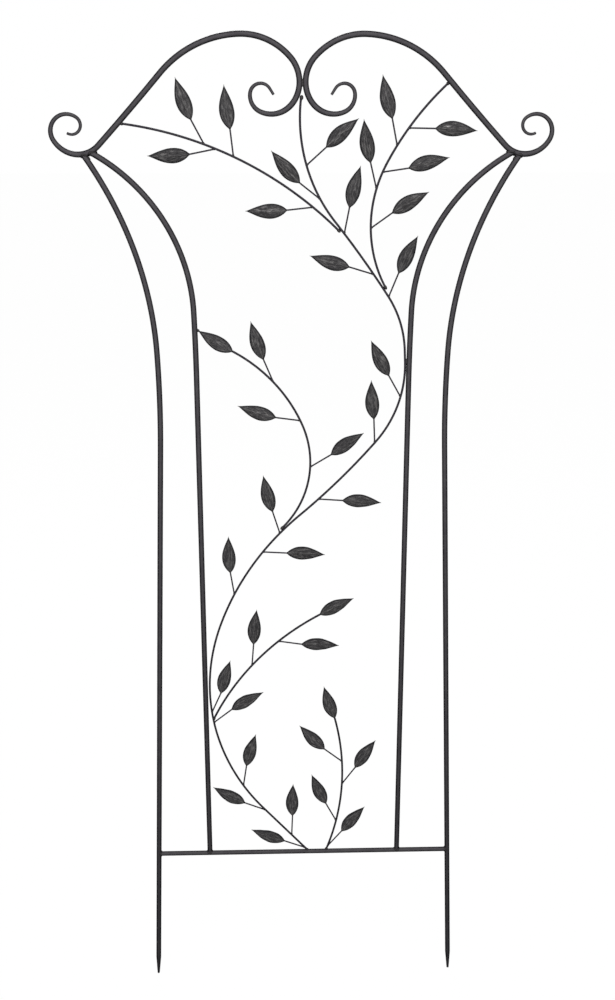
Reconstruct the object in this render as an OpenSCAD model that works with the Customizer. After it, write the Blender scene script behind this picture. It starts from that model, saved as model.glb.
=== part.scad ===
// Garden trellis panel: two mirrored scroll arches over a pair of legs and a pair of stiles,
// with a welded vine of wire stems and stamped sheet leaves between the stiles.
// Millimetres. The panel stands in the XZ plane, +Z up, with its front towards -Y.
// The origin is midway between the legs, level with the points of the ground spikes.

/* [Frame] */
// Overall height, from the spike points to the top of the arches
panel_h = 1830; // [1600:10:2100]
// Overall width across the two outer scrolls
panel_w = 842; // [780:2:900]
// Diameter of the round bar in the legs, stiles and arches
bar_d = 10; // [8:0.5:12]
// Diameter of the round bar in the bottom rail
rail_d = 9; // [7:0.5:12]
// Height of the rail's centreline above the spike points
rail_h = 286; // [220:2:340]
// Distance between the points of the two ground spikes
spike_spacing = 602; // [580:2:640]
// Lean of the lower legs from upright, in degrees
leg_lean = 2.3; // [1.5:0.1:3]
// Distance between the centrelines of the two stiles
stile_spacing = 375; // [350:1:400]
// Where each leg meets its arch, as bar length from the crown joint
leg_weld_at = 467; // [464:1:472]
// Where each stile meets its arch, as bar length from the crown joint
stile_weld_at = 455; // [448:1:456]

/* [Ends of the bars] */
// Length of the point forged on each ground spike
spike_point_l = 40; // [20:1:80]
// Diameter at the tip of each ground spike
spike_point_d = 4.5; // [2:0.5:7]
// Length of the taper that runs into each outer scroll's tip
outer_taper_l = 170; // [100:5:180]
// Length of the taper that runs into each centre scroll's tip
centre_taper_l = 140; // [80:5:145]
// Diameter at the tip of every scroll
scroll_tip_d = 4.5; // [3:0.5:7]

/* [Vine] */
// Diameter of the wire in the vine stems
stem_d = 4; // [3:0.5:6]
// Diameter of the wire in the leaf stalks
stalk_d = 2.8; // [2:0.2:4]
// Length of each leaf stalk, from its stem's centreline to its leaf
stalk_l = 44; // [35:1:55]
// Where the main vine is rooted on the rail, right of the middle
main_root_x = 11; // [0:1:20]
// Where the root vine is rooted on the rail, right of the middle
root_vine_x = 44; // [36:1:60]
// How far above the start of its bend the right stile is welded to the main vine
stile_touch_rise = 35; // [-48:1:112]

/* [Leaves] */
// Length of a leaf blade
leaf_l = 71; // [55:1:80]
// Greatest width of a leaf blade
leaf_w = 25; // [16:1:32]
// Thickness of the leaf sheet
leaf_t = 1.2; // [0.8:0.1:2]
// How far the middle of a blade is domed towards the front
leaf_dome = 2.4; // [0:0.2:4]
// Where a blade is widest, as a share of its length
leaf_belly = 0.4; // [0.3:0.05:0.5]
// How far the middle of a blade bows to the left of its line
leaf_bow = 1.3; // [0:0.1:3]

/* [Hidden] */
$fn = 48;

// Facets round a full turn of bar, for the sweep of a bend
BEND_FN = 180;
// Sides of a tapered scroll's section
TAPER_SIDES = 14;
// Length of bar between two sections of a tapered scroll
TAPER_STEP = 5;
// Angles round the half ball that ends a tapered scroll
TIP_RINGS = [30, 64];
// Growth in diameter of the slight swell where one bend runs into the next
SWELL = 0.12;
// Gap left where an end is cut to fit the bar that it is welded to
SEAT_GAP = 0.1;
// Gap left between a weld bead and what it joins
BEAD_GAP = 0.02;
// Gap that a weld bridges where wire passes a bar or ends beside it
TOUCH_GAP = 0.3;
// Growth in diameter of a weld bead over the bar or the wire that it runs round
FRAME_BEAD = 4;
VINE_BEAD = 2.6;
// How far from the end of a bar its weld bead sits, as a share of the bar's diameter
LEG_BEAD_AT = 0.6;
STILE_BEAD_AT = 0.9;
FOOT_BEAD_AT = 0.6;
RAIL_BEAD_AT = 0.55;

bar_colour = "#3b393a";
vine_colour = "#3a3836";
leaf_colour = "#4a4743";
weld_colour = "#353334";

// ---- Bent bar, drawn on the panel's plane as [x, z] points ----
// A bend is [length, turn]: bar of that length that turns left by that angle, 0 for straight.
// A run is a list of placed stretches [start point, heading, length, turn].

function toward(a) = [cos(a), sin(a)];
function cross2(a, b) = a[0] * b[1] - a[1] * b[0];
function heading_of(v) = atan2(v[1], v[0]);
function mirrored(p) = [-p[0], p[1]];

// The point reached after a stretch of bar of length n that turns by t
function reached(p, h, n, t) = abs(t) < 0.001 ? p + n * toward(h)
    : let (r = n * 180 / (PI * t)) p + r * [sin(h + t) - sin(h), cos(h) - cos(h + t)];

// Lays a list of bends from point p with heading h
function laid(p, h, bends, i = 0) = i == len(bends) ? [] : concat(
    [[p, h, bends[i][0], bends[i][1]]],
    laid(reached(p, h, bends[i][0], bends[i][1]), h + bends[i][1], bends, i + 1));

function scaled(bends, k) = [for (b = bends) [b[0] * k, b[1]]];
function end_point(run) = let (s = run[len(run) - 1]) reached(s[0], s[1], s[2], s[3]);
function end_heading(run) = let (s = run[len(run) - 1]) s[1] + s[3];
function run_length(run, i = 0) = i == len(run) ? 0 : run[i][2] + run_length(run, i + 1);

// Bends scaled and turned to run from one point to another
function spanning(from, to, bends) =
    let (chord = end_point(laid([0, 0], 0, bends)), k = norm(to - from) / norm(chord))
    laid(from, heading_of(to - from) - heading_of(chord), scaled(bends, k));

// A straight stretch at heading h, then bends scaled so that the run ends at a given point
function rising(from, to, h, bends) =
    let (chord = end_point(laid([0, 0], h, bends)), u = toward(h), d = cross2(u, chord))
    laid(from, h, concat([[cross2(to - from, chord) / d, 0]], scaled(bends, cross2(u, to - from) / d)));

// The same bar, followed from its other end
function backwards(run) = [for (i = [len(run) - 1 : -1 : 0]) let (r = run[i])
    [reached(r[0], r[1], r[2], r[3]), r[1] + r[3] - 180, r[2], -r[3]]];

// The bend that leaves point p with heading h and reaches point q
function bend_to(p, h, q) = let (way = q - p, half = heading_of(way) - h, t = half - 360 * round(half / 360))
    [p, h, norm(way) * (abs(t) < 0.001 ? 1 : PI * t / (180 * sin(t))), 2 * t];
function threaded(points, h, i = 0) = i == len(points) - 1 ? [] :
    let (s = bend_to(points[i], h, points[i + 1])) concat([s], threaded(points, h + s[3], i + 1));

// A template run moved to leave one point with heading h and reach another. Its bulges are stretched
// sideways by factor k, and what its end is then still short of is shared out along it.
function fitted(run, from, to, h, k) =
    let (first = run[0][0], whole = run_length(run), chord = end_point(run) - first,
        short = to - from - [k * chord[0], chord[1]])
    threaded(concat([for (i = [0 : len(run) - 1]) let (way = run[i][0] - first)
        from + [k * way[0], way[1]] + (1 - run_length(run, i) / whole) * short], [to]), h);

// The part of a run between two lengths along it
function between(run, a, b, s = 0, i = 0) = i == len(run) ? [] :
    let (r = run[i], lo = max(a, s) - s, n = min(b, s + r[2]) - s - lo, rate = r[3] / r[2])
    concat(n > 0.01 ? [[reached(r[0], r[1], lo, rate * lo), r[1] + rate * lo, n, rate * n]] : [],
        between(run, a, b, s + r[2], i + 1));

// [point, heading] at a length s along a run
function pose_at(run, s, i = 0) = let (r = run[i], n = min(s, r[2]), t = r[3] * n / r[2])
    s <= r[2] || i == len(run) - 1 ? [reached(r[0], r[1], n, t), r[1] + t] : pose_at(run, s - r[2], i + 1);

// A point beside a run, d to the left of its centreline
function beside(run, s, d) = let (q = pose_at(run, s)) q[0] + d * toward(q[1] + 90);

function mirrored_run(run) = [for (r = run) [mirrored(r[0]), 180 - r[1], r[2], -r[3]]];

// ---- Solids of bent bar ----

module placed(p, h) {
    translate([p[0], 0, p[1]]) rotate([0, -h, 0]) children();
}

// One stretch of bar of diameter d
module stretch_of_bar(r, d) {
    if (abs(r[3]) < 0.001) {
        placed(r[0], r[1]) rotate([0, 90, 0]) cylinder(d = d, h = r[2]);
    } else {
        radius = r[2] * 180 / (PI * r[3]);
        centre = r[0] + radius * toward(r[1] + 90);
        first = r[3] > 0 ? r[1] - 90 : r[1] + 90 + r[3];
        translate([centre[0], 0, centre[1]]) rotate([90, 0, 0]) rotate([0, 0, first])
            rotate_extrude(angle = abs(r[3]), $fn = BEND_FN) translate([abs(radius), 0]) circle(d = d);
    }
}

// The slight swell of the bar at a point
module swell(p, d) {
    translate([p[0], 0, p[1]]) sphere(d = d + SWELL);
}

// A whole run of bar, closed by a swell wherever one stretch meets the next
module bar(run, d) {
    for (r = run) stretch_of_bar(r, d);
    for (i = [1 : 1 : len(run) - 1]) swell(run[i][0], d);
}

// A run of bar that is drawn down from d1 to d2, with a rounded tip.
// A ring of the sweep is [centre, heading, diameter].
module tapered_bar(run, d1, d2) {
    length = run_length(run);
    steps = ceil(length / TAPER_STEP);
    last = pose_at(run, length);
    body = [for (i = [0 : steps]) let (q = pose_at(run, length * i / steps))
        [q[0], q[1], d1 + (d2 - d1) * i / steps]];
    tip = [for (a = TIP_RINGS) [last[0] + sin(a) * d2 / 2 * toward(last[1]), last[1], d2 * cos(a)]];
    rings = concat(body, tip);
    count = len(rings);
    points = [for (ring = rings) for (j = [0 : TAPER_SIDES - 1])
        let (a = 360 * j / TAPER_SIDES, p = ring[0] + ring[2] / 2 * cos(a) * toward(ring[1] + 90))
        [p[0], ring[2] / 2 * sin(a), p[1]]];
    walls = [for (i = [0 : count - 2]) for (j = [0 : TAPER_SIDES - 1])
        let (a = i * TAPER_SIDES, b = a + TAPER_SIDES, k = (j + 1) % TAPER_SIDES)
        [a + j, a + k, b + k, b + j]];
    start_cap = [for (j = [TAPER_SIDES - 1 : -1 : 0]) j];
    end_cap = [for (j = [0 : TAPER_SIDES - 1]) (count - 1) * TAPER_SIDES + j];
    polyhedron(points, concat(walls, [start_cap, end_cap]));
}

// ---- Runs of the frame ----

crown_x = (bar_d + SWELL) / 2;

// Right arch, from the crown joint up over the top and down into the outer scroll
ARCH_BENDS = [[42, -42], [94, -50], [146, -46], [155, 2], [85, 105], [75, 157], [45, 173]];
// Right arch, from the crown joint down into the centre scroll
SCROLL_BENDS = [[36, 39], [58, 74], [36, 74], [43, 140], [11, 0]];
// Leg and stile, above their straight stretches, on the right
LEG_BENDS = [[191, -4.5], [398, -32]];
STILE_BENDS = [[120, -1.6], [320, -60]];

// The arch as bent from its first template, before it is sized to the panel
arch_template = laid([0, 0], 90, ARCH_BENDS);
template_l = run_length(arch_template);
template_steps = [for (s = [0 : 0.5 : template_l]) [s, pose_at(arch_template, s)[0]]];
template_reach = max([for (q = template_steps) q[1][0]]);
template_rise = max([for (q = template_steps) q[1][1]]);
// Bar radius on the outside of the outer scroll, where it is already tapering
reach_at = [for (q = template_steps) if (q[1][0] == template_reach) q[0]][0];
drawn_share = max(0, reach_at - template_l + outer_taper_l) / outer_taper_l;
outer_bar_r = (bar_d - drawn_share * (bar_d - scroll_tip_d)) / 2;
arch_k = (panel_w / 2 - crown_x - outer_bar_r) / template_reach;
crown = [crown_x, panel_h - bar_d / 2 - arch_k * template_rise];

arch_run = laid(crown, 90, scaled(ARCH_BENDS, arch_k));
scroll_run = laid(crown, -90, scaled(SCROLL_BENDS, arch_k));
arch_body_l = run_length(arch_run) - outer_taper_l;
scroll_body_l = run_length(scroll_run) - centre_taper_l;

spike_point = [spike_spacing / 2, spike_point_d / 2 * sin(leg_lean)];
leg_top = pose_at(arch_run, leg_weld_at * arch_k)[0];
stile_top = pose_at(arch_run, stile_weld_at * arch_k)[0];
leg_run = rising(spike_point, leg_top, 90 + leg_lean, LEG_BENDS);
stile_run = rising([stile_spacing / 2, rail_h], stile_top, 90, STILE_BENDS);
// Length of the free ground spike, up to the underside of the rail's weld
spike_l = (rail_h - rail_d / 2 - bar_d / 2) / cos(leg_lean);
rail_end_x = spike_point[0] - rail_h * tan(leg_lean);
rail_end_s = rail_h / cos(leg_lean);

module arch_bar() {
    bar(between(arch_run, 0, arch_body_l), bar_d);
    bar(between(scroll_run, 0, scroll_body_l), bar_d);
    swell(crown, bar_d);
}

module arch() {
    outer = between(arch_run, arch_body_l, run_length(arch_run));
    centre = between(scroll_run, scroll_body_l, run_length(scroll_run));
    arch_bar();
    swell(outer[0][0], bar_d);
    swell(centre[0][0], bar_d);
    tapered_bar(outer, bar_d, scroll_tip_d);
    tapered_bar(centre, bar_d, scroll_tip_d);
}

// A straight dummy of the bar at length s along a run, which cuts the end of what is welded there
module seat(run, s, d, gap = SEAT_GAP) {
    q = pose_at(run, s);
    placed(q[0], q[1]) rotate([0, 90, 0]) cylinder(d = d + 2 * gap, h = 6 * bar_d, center = true);
}

module leg_bar() {
    placed(spike_point, 90 + leg_lean) rotate([0, 90, 0])
        cylinder(d1 = spike_point_d, d2 = bar_d, h = spike_point_l);
    swell(pose_at(leg_run, spike_point_l)[0], bar_d);
    bar(between(leg_run, spike_point_l, spike_l), bar_d);
    swell(pose_at(leg_run, spike_l)[0], bar_d);
    bar(between(leg_run, spike_l, run_length(leg_run)), bar_d);
}

module rail_bar() {
    translate([0, 0, rail_h]) rotate([0, 90, 0]) cylinder(d = rail_d, h = 2 * rail_end_x, center = true);
}

// ---- Runs of the vine ----

// Distance between centrelines where wire lies against a bar, and against another wire
touch = (bar_d + stem_d + SWELL) / 2;
stem_touch = stem_d + SWELL;
left_arch_run = mirrored_run(arch_run);
left_scroll_run = mirrored_run(scroll_run);

// Where the vine is welded to the arches, as bar length from the crown joint
SCROLL_WELD_AT = 20;
CROWN_LEFT_WELD_AT = 388;
CROWN_RIGHT_WELD_AT = 298;
// Where the other stems leave or reach the main vine, which is marked 0 at the rail, 1 at the
// stile's weld and 2 at its top, with even marks between
LOW_AT = 0.303;
MIDDLE_AT = 0.665;
CROWN_RIGHT_AT = 1.273;
CROWN_LEFT_AT = 1.529;

// The longer stems as they are first bent on a template board, from one end of each to the other
MAIN_LOWER_TEMPLATE = spanning([11, 286], [180, 1283],
    [[141, 0], [434, -61], [281, -30], [203, 9], [163, 43]]);
MAIN_UPPER_TEMPLATE = rising([180, 1283], [-2, 1728], end_heading(MAIN_LOWER_TEMPLATE),
    [[95, 30.8], [149, 5.3], [205, -46.2]]);
CROWN_RIGHT_TEMPLATE = spanning([146, 1412], [244, 1753], [[211, -58], [160, -19.5]]);
MIDDLE_TEMPLATE = spanning([-40, 974], [-123, 1303], [[216, 69], [183, 38]]);
TEMPLATE_SPACING = 375;
sideways = stile_spacing / TEMPLATE_SPACING;

// The main vine climbs from the rail to the right stile, then to the left arch's centre scroll
TOUCH_LEAN = 3.2;
stile_touch_s = stile_run[0][2] + stile_touch_rise;
stile_touch_point = beside(stile_run, stile_touch_s, touch + TOUCH_GAP);
stile_touch_heading = pose_at(stile_run, stile_touch_s)[1] + TOUCH_LEAN;
main_lower_run = backwards(fitted(backwards(MAIN_LOWER_TEMPLATE), stile_touch_point,
    [main_root_x, rail_h], stile_touch_heading + 180, sideways));
main_upper_run = fitted(MAIN_UPPER_TEMPLATE, stile_touch_point,
    beside(left_scroll_run, SCROLL_WELD_AT * arch_k, touch), stile_touch_heading, sideways);
main_run = concat(main_lower_run, main_upper_run);
main_l = run_length(main_run);
main_parts = [main_lower_run, main_upper_run];

// The length at a mark along a vine of one or two parts, each of which adds 1 to the mark
function length_at(parts, mark) = let (i = min(floor(mark), len(parts) - 1))
    (i == 0 ? 0 : run_length(parts[0])) + (mark - i) * run_length(parts[i]);

// A point beside the main vine, and the vine's heading, at a mark along it
function main_s(mark) = length_at(main_parts, mark);
function main_beside(mark, d) = beside(main_run, main_s(mark), d);
function main_heading(mark) = pose_at(main_run, main_s(mark))[1];

// The crown vines tie the main vine to the left and to the right arch
crown_left_run = spanning(pose_at(left_arch_run, CROWN_LEFT_WELD_AT * arch_k)[0],
    main_beside(CROWN_LEFT_AT, stem_touch), [[412, -37.5]]);
CROWN_RIGHT_FORK = 4.6;
crown_right_run = fitted(CROWN_RIGHT_TEMPLATE, main_beside(CROWN_RIGHT_AT, -stem_touch),
    pose_at(arch_run, CROWN_RIGHT_WELD_AT * arch_k)[0],
    main_heading(CROWN_RIGHT_AT) - CROWN_RIGHT_FORK, sideways);

// The middle vine ends in a leaf whose tip is welded to the left stile
MIDDLE_FORK = 0.9;
MIDDLE_TIP_HEADING = 148;
MIDDLE_TIP_RISE = 1.058;
left_stile_run = mirrored_run(stile_run);
middle_tip_s = MIDDLE_TIP_RISE * stile_touch_s;
middle_tip = beside(left_stile_run, middle_tip_s, -bar_d / 2 - TOUCH_GAP);
middle_run = fitted(MIDDLE_TEMPLATE, main_beside(MIDDLE_AT, stem_touch),
    middle_tip - leaf_l * toward(MIDDLE_TIP_HEADING), main_heading(MIDDLE_AT) - MIDDLE_FORK, sideways);

// The low and the root vine end free, in a leaf
LOW_FORK = 35;
LOW_TIP_TURN = -2;
ROOT_HEADING = 69;
ROOT_TIP_TURN = 3;
low_run = laid(main_beside(LOW_AT, 0), main_heading(LOW_AT) - LOW_FORK, [[304, -35.5]]);
root_run = laid([root_vine_x, rail_h], ROOT_HEADING, [[303, 35.5]]);

// ---- Leaves ----
// Each stalk is [mark along its vine, angle from the vine's heading, turn of the leaf on it].

MAIN_STALKS = [[0.01, 27, -1], [0.044, -44, 1], [0.11, 26, -8], [0.17, -41, -7],
    [0.298, -62, -8], [0.317, -31, 8], [0.532, 36, -7], [0.617, -55, 0], [0.658, 61, -4],
    [0.74, -47, 0], [0.864, 43, 2], [0.946, 44, -2], [1.243, -55, -5], [1.338, 38, 1],
    [1.512, -49, -4], [1.654, 23, -10], [1.776, -65, -1]];
CROWN_LEFT_STALKS = [[0.351, 138, -8], [0.4, -147, -9], [0.477, 121, 1], [0.855, -135, -5]];
CROWN_RIGHT_STALKS = [[0.278, -56, -6], [0.449, 30, -4], [0.525, -58, 6], [0.652, 44, 2],
    [0.74, -55, -2]];
MIDDLE_STALKS = [[0.333, -56, 3], [0.558, 57, -10], [0.773, -20, -5]];
LOW_STALKS = [[0.454, 37, -1], [0.688, -49, 6]];
ROOT_STALKS = [[0.04, -20, 0], [0.241, 40, -4], [0.518, -33, 2], [0.683, 48, -8]];

// [name, parts of its run, stalks, heading of the leaf on the stem's own end, if it has one]
VINES = [
    ["main", main_parts, MAIN_STALKS, []],
    ["crown_left", [crown_left_run], CROWN_LEFT_STALKS, []],
    ["crown_right", [crown_right_run], CROWN_RIGHT_STALKS, []],
    ["middle", [middle_run], MIDDLE_STALKS, [MIDDLE_TIP_HEADING]],
    ["low", [low_run], LOW_STALKS, [end_heading(low_run) + LOW_TIP_TURN]],
    ["root", [root_run], ROOT_STALKS, [end_heading(root_run) + ROOT_TIP_TURN]]];

function vine_run(vine) = [for (part = vine[1]) for (r = part) r];

// [point on the stem, heading of the stem, heading of the stalk] for stalk i of a vine
function stalk_place(vine, i) = let (stalk = vine[2][i],
    q = pose_at(vine_run(vine), length_at(vine[1], stalk[0]))) [q[0], q[1], q[1] + stalk[1]];

// [base point, heading] of leaf i of a vine; the leaf past the last stalk sits on the stem's end
function leaf_place(vine, i) = i < len(vine[2])
    ? let (q = stalk_place(vine, i)) [q[0] + stalk_l * toward(q[2]), q[2] + vine[2][i][2]]
    : [end_point(vine_run(vine)), vine[3][0]];

function leaf_count(vine) = len(vine[2]) + len(vine[3]);

// Half width of a blade at share u of its length: rounded at the base, drawn out at the tip
LEAF_POWER = 2.1;
function leaf_half(u) = let (a = leaf_belly * LEAF_POWER, b = LEAF_POWER - a)
    leaf_w / 2 * pow(max(u, 0) / leaf_belly, a) * pow((1 - u) / (1 - leaf_belly), b);

LEAF_STATIONS = [0, 0.04, 0.1, 0.18, 0.28, 0.4, 0.52, 0.64, 0.76, 0.87, 0.95, 1];
LEAF_ACROSS = [-1, -0.5, 0, 0.5, 1];
LEAF_TIP_W = 0.8;

// A sheet blade along +X, domed towards -Y, with its base on the end of its stalk
module blade() {
    rows = len(LEAF_STATIONS);
    cols = len(LEAF_ACROSS);
    base_half = stalk_d / 2;
    side = function (face) [for (u = LEAF_STATIONS) for (v = LEAF_ACROSS)
        let (half = max(leaf_half(u), u < 0.5 ? base_half : LEAF_TIP_W / 2))
        [u * leaf_l, face * leaf_t / 2 - leaf_dome * sin(180 * u) * (1 - v * v),
            v * half + leaf_bow * sin(180 * u)]];
    points = concat(side(-1), side(1));
    back = rows * cols;
    sheet = [for (i = [0 : rows - 2]) for (j = [0 : cols - 2]) let (a = i * cols + j)
        [a, a + 1, a + cols + 1, a + cols]];
    rim = concat([for (i = [0 : rows - 1]) i * cols], [for (j = [1 : cols - 1]) (rows - 1) * cols + j],
        [for (i = [rows - 2 : -1 : 0]) i * cols + cols - 1], [for (j = [cols - 2 : -1 : 1]) j]);
    edge = [for (i = [0 : len(rim) - 1]) let (a = rim[i], b = rim[(i + 1) % len(rim)])
        [a, b, back + b, back + a]];
    behind = [for (f = sheet) [back + f[3], back + f[2], back + f[1], back + f[0]]];
    polyhedron(points, concat(edge, sheet, behind));
}

module leaf(vine, i) {
    q = leaf_place(vine, i);
    color(leaf_colour) placed(q[0], q[1]) blade();
}

// All the stalks of one vine, each cut to fit its stem
module stalks(vine) {
    color(vine_colour) for (i = [0 : len(vine[2]) - 1]) {
        q = stalk_place(vine, i);
        difference() {
            placed(q[0], q[2]) rotate([0, 90, 0]) cylinder(d = stalk_d, h = stalk_l);
            placed(q[0], q[1]) rotate([0, 90, 0])
                cylinder(d = stem_d + 2 * SEAT_GAP, h = stalk_l, center = true);
        }
    }
}

// ---- Pieces ----

// A straight dummy of the bottom rail, which cuts what is welded to it
module rail_seat(gap = SEAT_GAP) {
    placed([0, rail_h], 0) rotate([0, 90, 0])
        cylinder(d = rail_d + 2 * gap, h = 2 * stile_spacing, center = true);
}

module right_leg() {
    color(bar_colour) difference() {
        leg_bar();
        seat(arch_run, leg_weld_at * arch_k, bar_d);
    }
}

module left_leg() {
    mirror([1, 0, 0]) right_leg();
}

module right_stile() {
    color(bar_colour) difference() {
        bar(stile_run, bar_d);
        seat(arch_run, stile_weld_at * arch_k, bar_d);
        rail_seat();
    }
}

module left_stile() {
    mirror([1, 0, 0]) right_stile();
}

module bottom_rail() {
    color(bar_colour) difference() {
        rail_bar();
        for (side = [0, 1]) mirror([side, 0, 0]) seat(leg_run, rail_end_s, bar_d);
    }
}

module right_arch() {
    color(bar_colour) arch();
}

module left_arch() {
    mirror([1, 0, 0]) right_arch();
}

// A stem whose foot is cut to fit the rail
module rooted_stem(run) {
    color(vine_colour) difference() {
        bar(run, stem_d);
        rail_seat();
    }
}

module main_stem() {
    rooted_stem(main_lower_run);
    color(vine_colour) {
        swell(stile_touch_point, stem_d);
        bar(main_upper_run, stem_d);
    }
}

module root_stem() {
    rooted_stem(root_run);
}

module crown_left_stem() {
    color(vine_colour) difference() {
        bar(crown_left_run, stem_d);
        seat(left_arch_run, CROWN_LEFT_WELD_AT * arch_k, bar_d);
    }
}

// This stem meets its arch squarely, so its end is cut straight across
module crown_right_stem() {
    cut_at = run_length(crown_right_run) - bar_d / 2 - TOUCH_GAP;
    color(vine_colour) bar(between(crown_right_run, 0, cut_at), stem_d);
}

module middle_stem() {
    color(vine_colour) bar(middle_run, stem_d);
}

module low_stem() {
    color(vine_colour) difference() {
        bar(low_run, stem_d);
        seat(main_run, main_s(LOW_AT), stem_d);
    }
}

// A weld bead round a point, cut by what it joins
module bead(p, d) {
    difference() {
        translate([p[0], 0, p[1]]) sphere(d = d);
        children();
    }
}

// The beads of one half of the frame
module side_beads() {
    leg_l = run_length(leg_run);
    stile_l = run_length(stile_run);
    bead(pose_at(leg_run, leg_l - bar_d * LEG_BEAD_AT)[0], bar_d + FRAME_BEAD) {
        seat(leg_run, leg_l - bar_d / 2, bar_d, BEAD_GAP);
        seat(arch_run, leg_weld_at * arch_k, bar_d, BEAD_GAP);
        seat(stile_run, stile_l - bar_d / 2, bar_d, BEAD_GAP);
    }
    bead(pose_at(stile_run, stile_l - bar_d * STILE_BEAD_AT)[0], bar_d + FRAME_BEAD) {
        seat(leg_run, leg_l - bar_d / 2, bar_d, BEAD_GAP);
        seat(arch_run, stile_weld_at * arch_k, bar_d, BEAD_GAP);
        seat(stile_run, stile_l - bar_d / 2, bar_d, BEAD_GAP);
    }
    bead(pose_at(stile_run, rail_d * FOOT_BEAD_AT)[0], bar_d + FRAME_BEAD) {
        seat(stile_run, bar_d, bar_d, BEAD_GAP);
        rail_seat(BEAD_GAP);
    }
    bead([rail_end_x - bar_d * RAIL_BEAD_AT, rail_h], rail_d + FRAME_BEAD) {
        seat(leg_run, rail_end_s, bar_d, BEAD_GAP);
        rail_seat(BEAD_GAP);
    }
}

module frame_welds() {
    color(weld_colour) {
        side_beads();
        mirror([1, 0, 0]) side_beads();
        bead([0, crown[1]], bar_d + FRAME_BEAD) {
            seat(arch_run, 0, bar_d, BEAD_GAP);
            seat(left_arch_run, 0, bar_d, BEAD_GAP);
        }
    }
}

// A bead where a length s of one wire meets a length t of another bar of diameter d
module wire_bead(run, s, other, t, d) {
    bead(pose_at(run, s)[0], stem_d + VINE_BEAD) {
        seat(run, s, stem_d, BEAD_GAP);
        seat(other, t, d, BEAD_GAP);
    }
}

module vine_welds() {
    reach = (bar_d + stem_d) / 2;
    color(weld_colour) {
        for (run = [main_run, root_run])
            bead(pose_at(run, rail_d * FOOT_BEAD_AT)[0], stem_d + VINE_BEAD) {
                seat(run, rail_d, stem_d, BEAD_GAP);
                rail_seat(BEAD_GAP);
            }
        wire_bead(main_run, main_s(1), stile_run, stile_touch_s, bar_d);
        bead(middle_tip, stem_d + VINE_BEAD) {
            seat(left_stile_run, middle_tip_s, bar_d, BEAD_GAP);
            placed(middle_tip, MIDDLE_TIP_HEADING)
                cube([leaf_l, leaf_t + 2 * BEAD_GAP, leaf_w], center = true);
        }
        wire_bead(main_run, main_l - stem_d, left_scroll_run, SCROLL_WELD_AT * arch_k, bar_d);
        wire_bead(crown_left_run, reach, left_arch_run, CROWN_LEFT_WELD_AT * arch_k, bar_d);
        wire_bead(crown_right_run, run_length(crown_right_run) - reach, arch_run,
            CROWN_RIGHT_WELD_AT * arch_k, bar_d);
        wire_bead(crown_left_run, run_length(crown_left_run), main_run, main_s(CROWN_LEFT_AT), stem_d);
        wire_bead(crown_right_run, stem_d, main_run, main_s(CROWN_RIGHT_AT), stem_d);
        wire_bead(middle_run, stem_d, main_run, main_s(MIDDLE_AT), stem_d);
        wire_bead(low_run, stem_d, main_run, main_s(LOW_AT), stem_d);
    }
}

FRAME_NODES = ["left_leg", "right_leg", "left_stile", "right_stile", "bottom_rail",
    "left_arch", "right_arch"];
STEM_NODES = [for (v = VINES) str(v[0], "_stem")];
STALK_NODES = [for (v = VINES) str(v[0], "_stalks")];
LEAF_NODES = [for (v = VINES) for (i = [0 : leaf_count(v) - 1]) str(v[0], "_leaf_", i + 1)];
WELD_NODES = ["frame_welds", "vine_welds"];

left_leg();
right_leg();
left_stile();
right_stile();
bottom_rail();
left_arch();
right_arch();
main_stem();
crown_left_stem();
crown_right_stem();
middle_stem();
low_stem();
root_stem();
for (v = VINES) stalks(v);
for (v = VINES) for (i = [0 : leaf_count(v) - 1])
    leaf(v, i);
frame_welds();
vine_welds();
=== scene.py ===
import math

import bpy
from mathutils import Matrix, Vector


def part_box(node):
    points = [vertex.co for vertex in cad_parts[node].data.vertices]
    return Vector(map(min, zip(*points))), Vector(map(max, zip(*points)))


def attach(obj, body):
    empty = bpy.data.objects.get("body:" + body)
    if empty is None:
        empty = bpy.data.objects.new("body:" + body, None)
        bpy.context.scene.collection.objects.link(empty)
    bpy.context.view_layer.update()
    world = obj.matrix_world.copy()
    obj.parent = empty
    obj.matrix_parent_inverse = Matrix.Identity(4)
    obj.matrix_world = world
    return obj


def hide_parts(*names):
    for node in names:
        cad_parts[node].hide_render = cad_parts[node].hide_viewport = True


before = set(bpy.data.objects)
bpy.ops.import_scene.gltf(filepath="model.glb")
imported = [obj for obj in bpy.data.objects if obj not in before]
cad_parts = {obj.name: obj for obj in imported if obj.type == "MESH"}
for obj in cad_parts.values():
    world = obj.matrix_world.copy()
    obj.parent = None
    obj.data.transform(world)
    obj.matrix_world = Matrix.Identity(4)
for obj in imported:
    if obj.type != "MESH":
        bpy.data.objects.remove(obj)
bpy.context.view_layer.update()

# A welded garden trellis panel. The frame is round bar, the vine is wire with stamped sheet leaves.
# Every path is worked out in millimetres on the panel's plane as (x, z), then laid down in metres.

MM = 0.001


def span_of(node, axis):
    """Lowest and highest value of a solid along one axis, in millimetres."""
    low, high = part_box(node)
    return low[axis] / MM, high[axis] / MM


# ---- Sizes in millimetres and degrees, read from the CAD's solids or as its source has them ----

# Growth in diameter of a bar where one bend runs into the next
SWELL = 0.12
PANEL_H = span_of("right_arch", 2)[1]
PANEL_W = span_of("right_arch", 0)[1] - span_of("left_arch", 0)[0]
BAR_D = span_of("right_arch", 1)[1] * 2 - SWELL
RAIL_D = span_of("bottom_rail", 1)[1] * 2
RAIL_H = sum(span_of("bottom_rail", 2)) / 2
STEM_D = span_of("low_stem", 1)[1] * 2
STALK_D = span_of("main_stalks", 1)[1] * 2

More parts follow.
